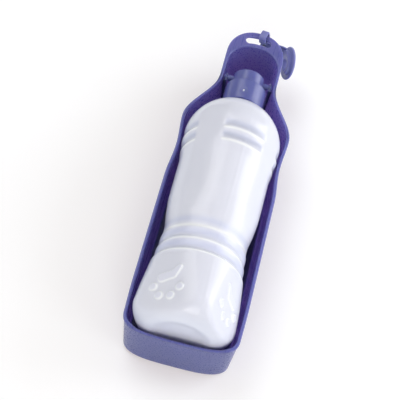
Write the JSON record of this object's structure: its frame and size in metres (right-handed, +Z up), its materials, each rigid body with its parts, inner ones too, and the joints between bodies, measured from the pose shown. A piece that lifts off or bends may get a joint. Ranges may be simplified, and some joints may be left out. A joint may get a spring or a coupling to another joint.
{
  "type": "dog travel water bottle",
  "caption": "Squeeze bottle lying in a drinking trough; the bottle swings up on two pins and a strap with an eye hangs from the head's slotted flange.",
  "frame": {"origin": "middle of the whole assembly in plan, on the plane that the trough stands on", "axes": "+Z up, +Y along the trough towards its head, +X across, with the strap's eye on the +X side"},
  "size_m": [0.0856, 0.2784, 0.0792],
  "materials": {
    "trough_plastic": "smooth moulded blue polypropylene, satin gloss",
    "bottle_plastic": "milky translucent polyethylene, soft gloss",
    "cap_plastic": "glossy moulded blue polypropylene",
    "seal_rubber": "translucent white silicone rubber",
    "strap_plastic": "soft blue flexible plastic"
  },
  "bodies": {
    "trough_body": {"trough": "trough_plastic"},
    "cap_body": {"cap": "cap_plastic", "sealing_washer": "seal_rubber", "outlet_valve": "seal_rubber", "valve_retainer": "cap_plastic"},
    "bottle_body": {"bottle": "bottle_plastic"},
    "strap_body": {"hanging_strap": "strap_plastic"}
  },
  "joints": [
    {"name": "bottle_swing", "type": "hinge", "parent": "trough_body", "child": "cap_body", "pos_m": [0, 0.09198, 0.041], "axis": [-1, 0, 0], "range_deg": [0, 125]},
    {"name": "bottle_twist", "type": "hinge", "parent": "cap_body", "child": "bottle_body", "pos_m": [0, 0, 0.041], "axis": [0, -1, 0], "range_deg": [0, 90]},
    {"name": "strap_slide", "type": "hinge", "parent": "trough_body", "child": "strap_body", "pos_m": [0, 0.09408, 0.031], "axis": [0, 0, 1], "range_deg": [-4.5, 14]}
  ]
}
